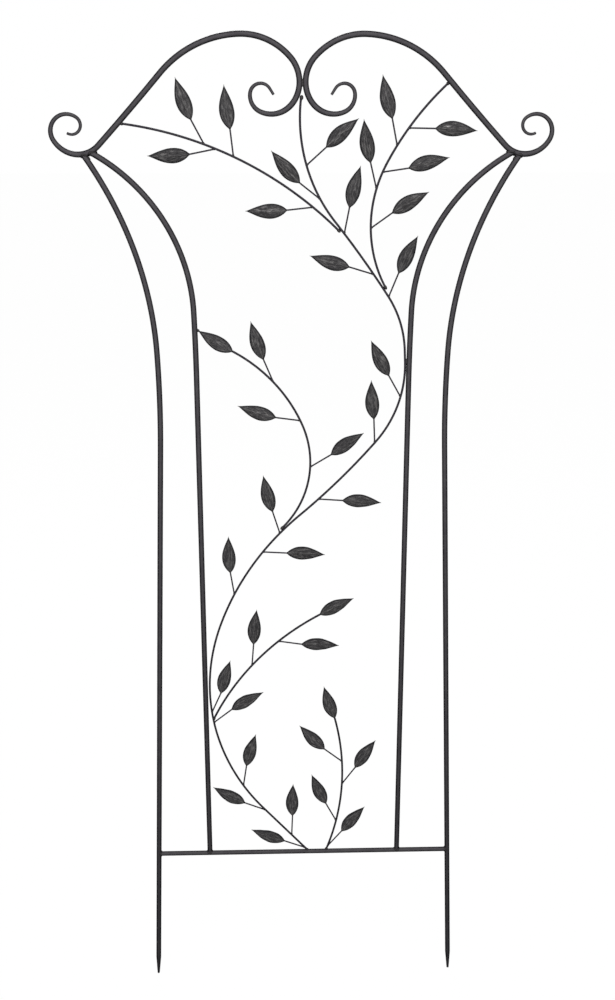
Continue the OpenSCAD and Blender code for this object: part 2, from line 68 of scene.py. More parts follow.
SPIKE_SPACING = 602
LEG_LEAN = 2.3
STILE_SPACING = 375
LEG_WELD_AT = 467
STILE_WELD_AT = 455
SPIKE_POINT_L = 40
SPIKE_POINT_D = 4.5
OUTER_TAPER_L = 170
CENTRE_TAPER_L = 140
SCROLL_TIP_D = 4.5
STALK_L = 44
MAIN_ROOT_X = 11
ROOT_VINE_X = 44
STILE_TOUCH_RISE = 35
TOUCH_GAP = 0.3
LEAF_L = 71
LEAF_W = 25
LEAF_T = 1.2
LEAF_DOME = 2.4
LEAF_BELLY = 0.4
LEAF_BOW = 1.3
LEAF_POWER = 2.1

# ---- Bent bar ----
# A run is a list of (start point, heading, length, turn to the left). A heading is in degrees, 0 to
# the right and 90 up.

# Least turn, in degrees, that is laid as a bend
LEAST_TURN = 0.001


def toward(a):
    return Vector((math.cos(math.radians(a)), math.sin(math.radians(a))))


def heading_of(v):
    return math.degrees(math.atan2(v[1], v[0]))


def cross2(a, b):
    return a[0] * b[1] - a[1] * b[0]


def reached(p, h, n, t):
    """Where a stretch that starts at p ends."""
    if abs(t) < LEAST_TURN:
        return p + n * toward(h)
    r = math.degrees(n / t)
    a, b = math.radians(h), math.radians(h + t)
    return p + r * Vector((math.sin(b) - math.sin(a), math.cos(a) - math.cos(b)))


def laid(p, h, bends):
    run = []
    p = Vector(p)
    for n, t in bends:
        run.append((p, h, n, t))
        p, h = reached(p, h, n, t), h + t
    return run


def scaled(bends, k):
    return [(n * k, t) for n, t in bends]


def end_point(run):
    return reached(*run[-1])


def end_heading(run):
    return run[-1][1] + run[-1][3]


def run_length(run):
    return sum(r[2] for r in run)


def spanning(start, end, bends):
    """Bends scaled and turned to run from one point to another."""
    chord = end_point(laid((0, 0), 0, bends))
    way = Vector(end) - Vector(start)
    heading = heading_of(way) - heading_of(chord)
    return laid(start, heading, scaled(bends, way.length / chord.length))


def rising(start, end, h, bends):
    """A straight stretch at heading h, then bends scaled so that the run ends at a given point."""
    chord = end_point(laid((0, 0), h, bends))
    way = Vector(end) - Vector(start)
    d = cross2(toward(h), chord)
    lead = cross2(way, chord) / d
    return laid(start, h, [(lead, 0)] + scaled(bends, cross2(toward(h), way) / d))


def pose_at(run, s):
    """Point and heading at a length s along a run."""
    for i, (p, h, n, t) in enumerate(run):
        if s <= n or i == len(run) - 1:
            m = min(s, n)
            return reached(p, h, m, t * m / n), h + t * m / n
        s -= n


def beside(run, s, d):
    p, h = pose_at(run, s)
    return p + d * toward(h + 90)


def backwards(run):
    """The same bar, followed from its other end."""
    return [(reached(p, h, n, t), h + t - 180, n, -t) for p, h, n, t in run[::-1]]


def threaded(points, h):
    """Bends that leave the first point with heading h and pass smoothly through the others."""
    run = []
    for p, q in zip(points, points[1:]):
        way = q - p
        half = (heading_of(way) - h + 180) % 360 - 180
        bulge = 1 if abs(half) < LEAST_TURN else math.radians(half) / math.sin(math.radians(half))
        run.append((p, h, way.length * bulge, 2 * half))
        h += 2 * half
    return run


def fitted(run, start, end, h, k):
    """A template run moved to leave one point with heading h and reach another. Its bulges are
    stretched sideways by factor k, and what its end is then still short of is shared along it."""
    first, whole = run[0][0], run_length(run)
    chord = end_point(run) - first
    short = end - start - Vector((k * chord[0], chord[1]))
    points = []
    for i, stretch in enumerate(run):
        way = stretch[0] - first
        points.append(start + Vector((k * way[0], way[1])) + run_length(run[:i]) / whole * short)
    return threaded(points + [end], h)


def mirrored_run(run):
    return [(Vector((-p[0], p[1])), 180 - h, n, -t) for p, h, n, t in run]


# ---- Runs of the frame ----

ARCH_BENDS = [(42, -42), (94, -50), (146, -46), (155, 2), (85, 105), (75, 157), (45, 173)]
SCROLL_BENDS = [(36, 39), (58, 74), (36, 74), (43, 140), (11, 0)]
LEG_BENDS = [(191, -4.5), (398, -32)]
STILE_BENDS = [(120, -1.6), (320, -60)]

# Steps per millimetre in the search for how far out and how high the arch's template reaches
SEARCH_STEPS = 2

crown_x = (BAR_D + SWELL) / 2
template = laid((0, 0), 90, ARCH_BENDS)
template_l = run_length(template)
template_steps = [(s / SEARCH_STEPS, pose_at(template, s / SEARCH_STEPS)[0])
                  for s in range(int(template_l * SEARCH_STEPS) + 1)]
reach_at, farthest = max(template_steps, key=lambda q: q[1][0])
template_rise = max(q[1][1] for q in template_steps)
drawn_share = max(0, reach_at - template_l + OUTER_TAPER_L) / OUTER_TAPER_L
outer_bar_r = (BAR_D - drawn_share * (BAR_D - SCROLL_TIP_D)) / 2
arch_k = (PANEL_W / 2 - crown_x - outer_bar_r) / farthest[0]
crown = Vector((crown_x, PANEL_H - BAR_D / 2 - arch_k * template_rise))

arch_run = laid(crown, 90, scaled(ARCH_BENDS, arch_k))
scroll_run = laid(crown, -90, scaled(SCROLL_BENDS, arch_k))
left_arch_run = mirrored_run(arch_run)
left_scroll_run = mirrored_run(scroll_run)

spike_point = Vector((SPIKE_SPACING / 2, SPIKE_POINT_D / 2 * math.sin(math.radians(LEG_LEAN))))
leg_run = rising(spike_point, pose_at(arch_run, LEG_WELD_AT * arch_k)[0], 90 + LEG_LEAN, LEG_BENDS)
stile_run = rising((STILE_SPACING / 2, RAIL_H), pose_at(arch_run, STILE_WELD_AT * arch_k)[0], 90,
                   STILE_BENDS)
rail_end_x = spike_point[0] - RAIL_H * math.tan(math.radians(LEG_LEAN))
rail_run = laid((-rail_end_x, RAIL_H), 0, [(2 * rail_end_x, 0)])

# ---- Runs of the vine ----

# Distance between centrelines where wire lies against a bar, and against another wire
touch = (BAR_D + STEM_D + SWELL) / 2
stem_touch = STEM_D + SWELL

# Where the vine is welded to the arches, as bar length from the crown joint
SCROLL_WELD_AT = 20
CROWN_LEFT_WELD_AT = 388
CROWN_RIGHT_WELD_AT = 298

# Where the other stems leave or reach the main vine, which is marked 0 at the rail, 1 at the
# stile's weld and 2 at its top, with even marks between
LOW_AT = 0.303
MIDDLE_AT = 0.665
CROWN_RIGHT_AT = 1.273
CROWN_LEFT_AT = 1.529

# The longer stems as they are first bent on a template board, from one end of each to the other
MAIN_LOWER_TEMPLATE = spanning((11, 286), (180, 1283),
                               [(141, 0), (434, -61), (281, -30), (203, 9), (163, 43)])
MAIN_UPPER_TEMPLATE = rising((180, 1283), (-2, 1728), end_heading(MAIN_LOWER_TEMPLATE),
                             [(95, 30.8), (149, 5.3), (205, -46.2)])
CROWN_RIGHT_TEMPLATE = spanning((146, 1412), (244, 1753), [(211, -58), (160, -19.5)])
MIDDLE_TEMPLATE = spanning((-40, 974), (-123, 1303), [(216, 69), (183, 38)])
TEMPLATE_SPACING = 375
sideways = STILE_SPACING / TEMPLATE_SPACING

# The main vine climbs from the rail to the right stile, then to the left arch's centre scroll
TOUCH_LEAN = 3.2
stile_touch_s = stile_run[0][2] + STILE_TOUCH_RISE
stile_touch_point = beside(stile_run, stile_touch_s, touch + TOUCH_GAP)
stile_touch_heading = pose_at(stile_run, stile_touch_s)[1] + TOUCH_LEAN
main_lower_run = backwards(fitted(backwards(MAIN_LOWER_TEMPLATE), stile_touch_point,
                                  Vector((MAIN_ROOT_X, RAIL_H)), stile_touch_heading + 180,
                                  sideways))
main_upper_run = fitted(MAIN_UPPER_TEMPLATE, stile_touch_point,
                        beside(left_scroll_run, SCROLL_WELD_AT * arch_k, touch),
                        stile_touch_heading, sideways)
main_run = main_lower_run + main_upper_run
main_parts = [main_lower_run, main_upper_run]


def length_at(parts, mark):
    """The length at a mark along a vine of one or two parts, each of which adds 1 to the mark."""
    i = min(int(mark), len(parts) - 1)
    return (0 if i == 0 else run_length(parts[0])) + (mark - i) * run_length(parts[i])


def main_s(mark):
    return length_at(main_parts, mark)


def main_beside(mark, d):
    return beside(main_run, main_s(mark), d)


def main_heading(mark):
    return pose_at(main_run, main_s(mark))[1]


# The crown vines tie the main vine to the left and to the right arch
crown_left_run = spanning(pose_at(left_arch_run, CROWN_LEFT_WELD_AT * arch_k)[0],
                          main_beside(CROWN_LEFT_AT, stem_touch), [(412, -37.5)])
CROWN_RIGHT_FORK = 4.6
crown_right_run = fitted(CROWN_RIGHT_TEMPLATE, main_beside(CROWN_RIGHT_AT, -stem_touch),
                         pose_at(arch_run, CROWN_RIGHT_WELD_AT * arch_k)[0],
                         main_heading(CROWN_RIGHT_AT) - CROWN_RIGHT_FORK, sideways)

# The middle vine ends in a leaf whose tip is welded to the left stile
MIDDLE_FORK = 0.9
MIDDLE_TIP_HEADING = 148
MIDDLE_TIP_RISE = 1.058
left_stile_run = mirrored_run(stile_run)
middle_tip = beside(left_stile_run, MIDDLE_TIP_RISE * stile_touch_s, -BAR_D / 2 - TOUCH_GAP)
middle_run = fitted(MIDDLE_TEMPLATE, main_beside(MIDDLE_AT, stem_touch),
                    middle_tip - LEAF_L * toward(MIDDLE_TIP_HEADING),
                    main_heading(MIDDLE_AT) - MIDDLE_FORK, sideways)

# The low and the root vine end free, in a leaf
LOW_FORK = 35
LOW_TIP_TURN = -2
ROOT_HEADING = 69
ROOT_TIP_TURN = 3
low_run = laid(main_beside(LOW_AT, 0), main_heading(LOW_AT) - LOW_FORK, [(304, -35.5)])
root_run = laid((ROOT_VINE_X, RAIL_H), ROOT_HEADING, [(303, 35.5)])

# A stalk is (mark along its vine, angle from the vine's heading, turn of the leaf on it).
MAIN_STALKS = [
    (0.01, 27, -1), (0.044, -44, 1), (0.11, 26, -8), (0.17, -41, -7), (0.298, -62, -8),
    (0.317, -31, 8), (0.532, 36, -7), (0.617, -55, 0), (0.658, 61, -4), (0.74, -47, 0),
    (0.864, 43, 2), (0.946, 44, -2), (1.243, -55, -5), (1.338, 38, 1), (1.512, -49, -4),
    (1.654, 23, -10), (1.776, -65, -1)]
CROWN_LEFT_STALKS = [(0.351, 138, -8), (0.4, -147, -9), (0.477, 121, 1), (0.855, -135, -5)]
CROWN_RIGHT_STALKS = [(0.278, -56, -6), (0.449, 30, -4), (0.525, -58, 6), (0.652, 44, 2),
                      (0.74, -55, -2)]
MIDDLE_STALKS = [(0.333, -56, 3), (0.558, 57, -10), (0.773, -20, -5)]
LOW_STALKS = [(0.454, 37, -1), (0.688, -49, 6)]
ROOT_STALKS = [(0.04, -20, 0), (0.241, 40, -4), (0.518, -33, 2), (0.683, 48, -8)]

# Vine name: (parts of its run, stalks, heading of the leaf on the stem's own end)
VINES = {
    "main": (main_parts, MAIN_STALKS, None),
    "crown_left": ([crown_left_run], CROWN_LEFT_STALKS, None),
    "crown_right": ([crown_right_run], CROWN_RIGHT_STALKS, None),
    "middle": ([middle_run], MIDDLE_STALKS, MIDDLE_TIP_HEADING),
    "low": ([low_run], LOW_STALKS, end_heading(low_run) + LOW_TIP_TURN),
    "root": ([root_run], ROOT_STALKS, end_heading(root_run) + ROOT_TIP_TURN)}


def vine_run(vine):
    return sum(vine[0], [])


def stalk_places(vine):
    """(point on the stem, heading of the stem, heading of the stalk, heading of its leaf)."""
    places = []
    for mark, angle, turn in vine[1]:
        p, h = pose_at(vine_run(vine), length_at(vine[0], mark))
        places.append((p, h, h + angle, h + angle + turn))
    return places


def leaf_places(vine):
    """(base point, heading) of every leaf of a vine, in the order of the solids."""
    places = [(p + STALK_L * toward(way), leaf) for p, _, way, leaf in stalk_places(vine)]
    if vine[2] is not None:
        places.append((end_point(vine_run(vine)), vine[2]))
    return places


# ---- Node trees ----


class NodeBed:
    """Nodes and their links. A socket given as an input is linked, and a value is set."""

    def __init__(self, tree):
        self.nodes = tree.nodes
        self.links = tree.links

    def add(self, kind, values=None, **settings):
        node = self.nodes.new(kind)
        for key, value in settings.items():
            setattr(node, key, value)
        for key, value in (values or {}).items():
            if isinstance(value, bpy.types.NodeSocket):
                self.links.new(value, node.inputs[key])
            else:
                node.inputs[key].default_value = value
        return node

    def first(self, kind, values=None, **settings):
        """The first output of a node that is added."""
        return self.add(kind, values, **settings).outputs[0]

    def maths(self, operation, a, b=0.0):
        return self.first("ShaderNodeMath", {0: a, 1: b}, operation=operation)

    def times(self, a, b):
        return self.maths("MULTIPLY", a, b)

    def spread(self, value, low, high, to_low=0.0, to_high=1.0, how="LINEAR"):
        """A value that runs from low to high, made to run from to_low to to_high."""
        return self.first("ShaderNodeMapRange",
                          {"Value": value, "From Min": low, "From Max": high, "To Min": to_low,
                           "To Max": to_high}, interpolation_type=how)

    def eased(self, value, low, high):
        return self.spread(value, low, high, how="SMOOTHSTEP")

    def noise(self, place, scale, detail, roughness=0.5):
        return self.first("ShaderNodeTexNoise", {"Vector": place, "Scale": scale, "Detail": detail,
                                                 "Roughness": roughness})

    def seen(self):
        """1 for what the eye sees, straight, reflected or through glass, and 0 for other light."""
        path = self.add("ShaderNodeLightPath").outputs
        indirectly = self.maths("MAXIMUM", path["Is Glossy Ray"], path["Is Transmission Ray"])
        return self.maths("MAXIMUM", path["Is Camera Ray"], indirectly)


class Tree(NodeBed):
    """A node group being built. An input is (label, kind), with a default after it if need be."""

    def __init__(self, name, kind, inputs, outputs):
        self.group = bpy.data.node_groups.new(name, kind + "NodeTree")
        super().__init__(self.group)
        for label, socket_kind, *default in inputs:
            item = self.socket(label, socket_kind, "INPUT")
            if default:
                item.default_value = default[0]
        for label in outputs:
            self.socket(label, "Geometry" if kind == "Geometry" else "Float", "OUTPUT")
        self.source = self.nodes.new("NodeGroupInput")
        self.result = self.nodes.new("NodeGroupOutput")

    def socket(self, label, kind, way):
        return self.group.interface.new_socket(name=label, in_out=way,
                                               socket_type="NodeSocket" + kind)

    def given(self, label):
        return self.source.outputs[label]

    def giving(self, results):
        """The whole group, with what it hands out."""
        for label, socket in results.items():
            self.links.new(socket, self.result.inputs[label])
        return self.group

    def coated(self, label, shape):
        """The whole group, which hands out a shape with the given finish on it."""
        return self.giving({label: self.first("GeometryNodeSetMaterial", {
            "Geometry": shape, "Material": self.given("Finish")})})

    def attribute(self, name, kind="FLOAT"):
        """A value that each point of the mesh brings along."""
        return self.first("GeometryNodeInputNamedAttribute", {"Name": name}, data_type=kind)

    def places(self):
        return self.first("GeometryNodeMeshToPoints", {"Mesh": self.given("Places")})

    def along_heading(self):
        """The turn that lays a shape along its point's heading on the panel."""
        angle = self.times(self.attribute("heading"), -1.0)
        return self.first("FunctionNodeAxisAngleToRotation",
                          {"Axis": (0.0, 1.0, 0.0), "Angle": angle})

    def random(self, low, high):
        """A value of its own for each point."""
        return self.add("FunctionNodeRandomValue",
                        {2: low, 3: high, "Seed": self.given("Seed")}, data_type="FLOAT").outputs[1]


def bent_bar_tree():
    """Sweeps round bar along a path, as thick as the path's own girth at each point."""
    tree = Tree("Bent bar", "Geometry",
                [("Path", "Geometry"), ("Sides", "Int"), ("Finish", "Material")], ["Bar"])
    line = tree.first("GeometryNodeMeshToCurve", {"Mesh": tree.given("Path")})
    profile = tree.first("GeometryNodeCurvePrimitiveCircle",
                         {"Resolution": tree.given("Sides"), "Radius": 1.0})
    swept = tree.first("GeometryNodeCurveToMesh",
                       {"Curve": line, "Profile Curve": profile, "Scale": tree.attribute("girth"),
                        "Fill Caps": True})
    return tree.coated("Bar", tree.first("GeometryNodeSetShadeSmooth", {"Geometry": swept}))


# Points along and across the grid that a leaf is stamped from. It spans -0.5 to 0.5 both ways.
BLADE_GRID = (45, 17)
# Power that draws the grid's rows in towards the midrib, and half the midrib's width in metres
RIB_CROWDING = 1.4
MIDRIB_HALF_W = 0.0011
# The wave of a leaf's rim: radians along the leaf, and the power that keeps it to the rim
RIM_WAVE_TURN = 21.0
RIM_WAVE_POWER = 3.0


def stamped_leaf_tree():
    """Stamps one sheet blade and sets a copy of it at each point, turned to the point's heading."""
    tree = Tree("Stamped leaves", "Geometry",
                [("Places", "Geometry"), ("Length", "Float"), ("Width", "Float"),
                 ("Thickness", "Float"), ("Dome", "Float"), ("Bow", "Float"), ("Belly", "Float"),
                 ("Power", "Float"), ("Base half width", "Float"), ("Tip half width", "Float"),
                 ("Midrib height", "Float", 0.0008), ("Rim wave", "Float", 0.0004),
                 ("Twist", "Float", 0.1), ("Seed", "Int"), ("Finish", "Material")], ["Leaves"])
    m, times, given = tree.maths, tree.times, tree.given
    sheet = tree.first("GeometryNodeMeshGrid",
                       {"Size X": 1.0, "Size Y": 1.0, "Vertices X": BLADE_GRID[0],
                        "Vertices Y": BLADE_GRID[1]})
    where = tree.add("ShaderNodeSeparateXYZ", {0: tree.first("GeometryNodeInputPosition")}).outputs
    along = m("MINIMUM", m("MAXIMUM", m("ADD", where[0], 0.5), 0.0), 1.0)
    even = times(where[1], 2.0)
    across = times(m("SIGN", even), m("POWER", m("ABSOLUTE", even), RIB_CROWDING))
    rise = times(given("Belly"), given("Power"))
    fall = m("SUBTRACT", given("Power"), rise)
    swell_in = m("POWER", m("DIVIDE", along, given("Belly")), rise)
    draw_out = m("POWER", m("DIVIDE", m("SUBTRACT", 1.0, along),
                            m("SUBTRACT", 1.0, given("Belly"))), fall)
    ideal = times(times(swell_in, draw_out), times(given("Width"), 0.5))
    first_half = m("LESS_THAN", along, 0.5)
    least = m("ADD", times(first_half, given("Base half width")),
              times(m("SUBTRACT", 1.0, first_half), given("Tip half width")))
    half = m("MAXIMUM", ideal, least)
    arch = m("SINE", times(along, math.pi))
    off_rib = times(across, half)
    dome = times(times(given("Dome"), arch), m("SUBTRACT", 1.0, times(across, across)))
    rib_share = m("DIVIDE", off_rib, MIDRIB_HALF_W)
    rib = times(m("EXPONENT", times(times(rib_share, rib_share), -1.0)),
                times(given("Midrib height"), m("SQRT", m("SUBTRACT", 1.0, along))))
    wave = times(times(m("SINE", times(along, RIM_WAVE_TURN)), arch),
                 times(given("Rim wave"), m("POWER", m("ABSOLUTE", across), RIM_WAVE_POWER)))
    height = m("ADD", m("ADD", dome, rib), wave)
    shaped = tree.first("ShaderNodeCombineXYZ",
                        {0: times(along, given("Length")),
                         1: m("SUBTRACT", times(given("Thickness"), -0.5), height),
                         2: m("ADD", off_rib, times(given("Bow"), arch))})
    spot = tree.first("ShaderNodeCombineXYZ",
                      {0: times(along, given("Length")), 1: off_rib,
                       2: m("SUBTRACT", half, m("ABSOLUTE", off_rib))})
    marked = tree.first("GeometryNodeStoreNamedAttribute",
                        {"Geometry": sheet, "Name": "blade_spot", "Value": spot},
                        data_type="FLOAT_VECTOR", domain="POINT")
    front = tree.first("GeometryNodeSetPosition", {"Geometry": marked, "Position": shaped})
    backwards_by = tree.first("ShaderNodeCombineXYZ", {1: given("Thickness")})
    thick = tree.add("GeometryNodeExtrudeMesh",
                     {"Mesh": front, "Offset": backwards_by, "Offset Scale": 1.0,
                      "Individual": False}, mode="FACES").outputs
    rim_flat = tree.first("GeometryNodeSetShadeSmooth",
                          {"Geometry": thick[0], "Selection": thick["Side"],
                           "Shade Smooth": False})
    shut = tree.add("GeometryNodeJoinGeometry")
    tree.links.new(rim_flat, shut.inputs[0])
    tree.links.new(tree.first("GeometryNodeFlipFaces", {"Mesh": front}), shut.inputs[0])
    blade = tree.first("GeometryNodeMergeByDistance",
                       {"Geometry": shut.outputs[0], "Distance": 0.000005})
    rocking = tree.random(times(given("Twist"), -1.0), given("Twist"))
    about_stalk = tree.first("FunctionNodeAxisAngleToRotation",
                             {"Axis": (1.0, 0.0, 0.0), "Angle": rocking})
    turned = tree.first("FunctionNodeRotateRotation", {0: tree.along_heading(), 1: about_stalk},
                        rotation_space="LOCAL")
    numbered = tree.first("GeometryNodeStoreNamedAttribute",
                          {"Geometry": tree.places(), "Name": "leaf_number",
                           "Value": tree.random(0.0, 1.0)}, data_type="FLOAT", domain="POINT")
    placed = tree.first("GeometryNodeInstanceOnPoints",
                        {"Points": numbered, "Instance": blade, "Rotation": turned})
    return tree.coated("Leaves", tree.first("GeometryNodeRealizeInstances", {"Geometry": placed}))


def weld_bead_tree():
    """Sets a lumpy bead of weld metal at each point, drawn out along the point's heading."""
    tree = Tree("Weld beads", "Geometry",
                [("Places", "Geometry"), ("Lumps", "Float"), ("Lump size", "Float"),
                 ("Seed", "Float", 5.0), ("Finish", "Material")], ["Beads"])
    ball = tree.first("GeometryNodeMeshIcoSphere", {"Radius": 1.0, "Subdivisions": 4})
    placed = tree.first("GeometryNodeInstanceOnPoints",
                        {"Points": tree.places(), "Instance": ball,
                         "Rotation": tree.along_heading(),
                         "Scale": tree.attribute("size", "FLOAT_VECTOR")})
    whole = tree.first("GeometryNodeRealizeInstances", {"Geometry": placed})
    fineness = tree.maths("DIVIDE", 1.0, tree.given("Lump size"))
    lumps = tree.first("ShaderNodeTexNoise",
                       {"W": tree.given("Seed"), "Scale": fineness, "Detail": 1.0},
                       noise_dimensions="4D")
    push = tree.times(tree.maths("SUBTRACT", lumps, 0.5),
                      tree.times(tree.given("Lumps"), tree.given("Lump size")))
    outwards = tree.first("ShaderNodeVectorMath",
                          {0: tree.first("GeometryNodeInputNormal"), "Scale": push},
                          operation="SCALE")
    rough = tree.first("GeometryNodeSetPosition", {"Geometry": whole, "Offset": outwards})
    return tree.coated("Beads", tree.first("GeometryNodeSetShadeSmooth", {"Geometry": rough}))


# ---- Making pieces from paths and points ----


def path_mesh(name, paths, closed=False):
    """Lines through the given points. A point is (x, y, z, radius) in millimetres."""
    points, edges, girths = [], [], []
    for path in paths:
        first = len(points)
        points += [(q[0] * MM, q[1] * MM, q[2] * MM) for q in path]
        girths += [q[3] * MM for q in path]
        edges += [(first + i, first + i + 1) for i in range(len(path) - 1)]
        if closed:
            edges.append((first + len(path) - 1, first))
    mesh = bpy.data.meshes.new(name)
    mesh.from_pydata(points, edges, [])
    mesh.attributes.new("girth", "FLOAT", "POINT").data.foreach_set("value", girths)
    return mesh


def point_mesh(name, places):
    """Points given as (place on the panel, y, heading), with a size after it where one is used."""
    mesh = bpy.data.meshes.new(name)
    mesh.from_pydata([(q[0][0] * MM, q[1] * MM, q[0][1] * MM) for q in places], [], [])
    headings = [math.radians(q[2]) for q in places]
    mesh.attributes.new("heading", "FLOAT", "POINT").data.foreach_set("value", headings)
    sizes = [v * MM for q in places for size in q[3:] for v in size]
    if sizes:
        mesh.attributes.new("size", "FLOAT_VECTOR", "POINT").data.foreach_set("vector", sizes)
    return mesh


def made(name, mesh, tree, sizes, nodes):
    """Works a tree on a mesh, keeps the result as a plain mesh and hands it to the frame."""
    piece = bpy.data.objects.new(name, mesh)
    bpy.context.scene.collection.objects.link(piece)
    worked = piece.modifiers.new("Making", "NODES")
    worked.node_group = tree
    for item in tree.interface.items_tree:
        if item.item_type == "SOCKET" and item.in_out == "INPUT" and item.name in sizes:
            worked[item.identifier] = sizes[item.name]
    bpy.context.view_layer.update()
    result = piece.evaluated_get(bpy.context.evaluated_depsgraph_get())
    kept = bpy.data.meshes.new_from_object(result)
    kept.name = name
    piece.modifiers.remove(worked)
    piece.data = kept
    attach(piece, "root")
    if nodes:
        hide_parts(*nodes)


# Greatest turn between two points of a path, in degrees, and the length before its end in which no
# further point is set
STEP_TURN = 3.0
END_CLEAR = 0.2
# A blunted end: its length and its loss of width as shares of the bar's radius, and the angles at
# which the rings round it lie
BLUNT_L = 0.35
BLUNT_LOSS = 0.42
BLUNT_RINGS = (20, 42, 64, 80)


def stations(run, start, end, step):
    """Lengths along a run, close enough together for its bends to look round."""
    marks, s = [], start
    while s < end - END_CLEAR:
        marks.append(s)
        at = 0
        for _, _, n, t in run:
            at += n
            if s < at:
                break
        s += min(step, STEP_TURN * n / max(abs(t), LEAST_TURN))
    return marks + [end]


def swept_path(run, radius_at, start=0.0, end=None, step=5.0):
    """Points down the middle of a bar, with its radius, from one length to another."""
    end = run_length(run) if end is None else end
    path = []
    for s in stations(run, start, end, step):
        p, _ = pose_at(run, s)
        path.append((p[0], 0.0, p[1], radius_at(s)))
    return path


def blunted(path):
    """A path whose two ends are rounded off as filed or melted bar ends are."""
    def cap(last, before):
        way = Vector(last[:3]) - Vector(before[:3])
        way.normalize()
        r = last[3]
        rows = []
        for a in BLUNT_RINGS:
            q = Vector(last[:3]) + way * (r * BLUNT_L * math.sin(math.radians(a)))
            rows.append((q[0], q[1], q[2], r * (1 - BLUNT_LOSS * (1 - math.cos(math.radians(a))))))
        return rows
    return cap(path[0], path[1])[::-1] + path + cap(path[-1], path[-2])


def mirrored_path(path):
    return [(-x, y, z, r) for x, y, z, r in path]


# ---- Finishes ----

# Colours of the coats. A pair holds the darkest and the palest of its clouds.
BAR_CLOUDS = (0.044, 0.041, 0.046, 1.0), (0.060, 0.057, 0.061, 1.0)
WIRE_CLOUDS = (0.024, 0.022, 0.028, 1.0), (0.035, 0.032, 0.039, 1.0)
WELD_CLOUDS = (0.030, 0.028, 0.029, 1.0), (0.046, 0.043, 0.043, 1.0)
LEAF_CLOUDS = (0.022, 0.021, 0.022, 1.0), (0.031, 0.030, 0.032, 1.0)
THINNED_COAT = (0.070, 0.063, 0.056, 1.0)
# Painted shade that a coat's colour turns to at edges facing away from the eye
PAINTED_EDGE_SHADE_COAT = (0.003, 0.003, 0.004, 1.0)
BRUSHED_VEIN = (0.150, 0.145, 0.143, 1.0)
# Painted shade that a leaf's colour darkens to at its rim
PAINTED_LEAF_RIM_SHADE = (0.009, 0.009, 0.010, 1.0)
WHITE = (1.0, 1.0, 1.0, 1.0)

# How strongly specks and thin spots show on a coat, and how much paler a speck is
SPECK_SHARE = 0.25
THIN_SHARE = 0.35
SPECK_GAIN = 1.9
# Painted shade on edges turned from the eye: where it begins, where it is darkest, and how dark
EDGE_SHADE_FROM = 0.03
EDGE_SHADE_TO = 0.36
EDGE_SHADE_SHARE = 0.95
# Roughness of bar and wire and of weld metal, how far it swings, and the depth of the orange peel
# in metres
COAT_ROUGHNESS = 0.46
WELD_ROUGHNESS = 0.42
ROUGHNESS_SWING = 0.07
PEEL_DEPTH = 0.00006
# Where a rub begins in its noise, how far more rubbing brings that down, and how soft its edge is
RUB_FROM = 0.72
RUB_REACH = 0.25
RUB_EDGE = 0.12


def coat_grain_group():
    """The grain of a baked powder coat: an even orange peel, with soft clouds and fine specks."""
    tree = Tree("Coat grain", "Shader",
                [("Peel scale", "Float", 700.0), ("Cloud scale", "Float"),
                 ("Speck scale", "Float", 1500.0)], ["Peel", "Cloud", "Specks"])
    place = tree.add("ShaderNodeTexCoord").outputs["Object"]
    speck = tree.add("ShaderNodeTexVoronoi", {"Vector": place, "Scale": tree.given("Speck scale")})
    return tree.giving({"Peel": tree.noise(place, tree.given("Peel scale"), 2.0, 0.55),
                        "Cloud": tree.noise(place, tree.given("Cloud scale"), 4.0, 0.6),
                        "Specks": tree.eased(speck.outputs["Distance"], 0.28, 0.12)})


def rubbed_coat_group():
    """Where handling and weather have thinned a coat, in broken patches."""
    tree = Tree("Rubbed coat", "Shader", [("Scale", "Float", 90.0), ("Amount", "Float")], ["Rub"])
    place = tree.add("ShaderNodeTexCoord").outputs["Object"]
    lean = tree.maths("SUBTRACT", RUB_FROM, tree.times(tree.given("Amount"), RUB_REACH))
    broad = tree.noise(place, tree.given("Scale"), 6.0, 0.7)
    return tree.giving({"Rub": tree.eased(broad, lean, tree.maths("ADD", lean, RUB_EDGE))})


# How far veins waver, in metres, and the share of that which the side veins follow
VEIN_WAVER = 0.0022
SIDE_WAVER = 0.8
# How fast the midrib narrows, per metre, and the least share of its width that is left
RIB_NARROWING = 9.0
RIB_LEAST = 0.35
# How strongly side veins curl up as they near the rim, per metre
VEIN_CURL = 25.0
# Brush strokes: how fine they are along and across a leaf, and how far two leaves' strokes differ
STROKES_ALONG = 75.0
STROKES_ACROSS = 4.6
STROKES_APART = 37.0
# How near the rim veins and strokes fade out, and how near it the painted rim shade is darkest, in
# metres
FADE_FROM = 0.0004
FADE_TO = 0.003
LEAF_RIM_SHADE_DARKEST = 0.0008


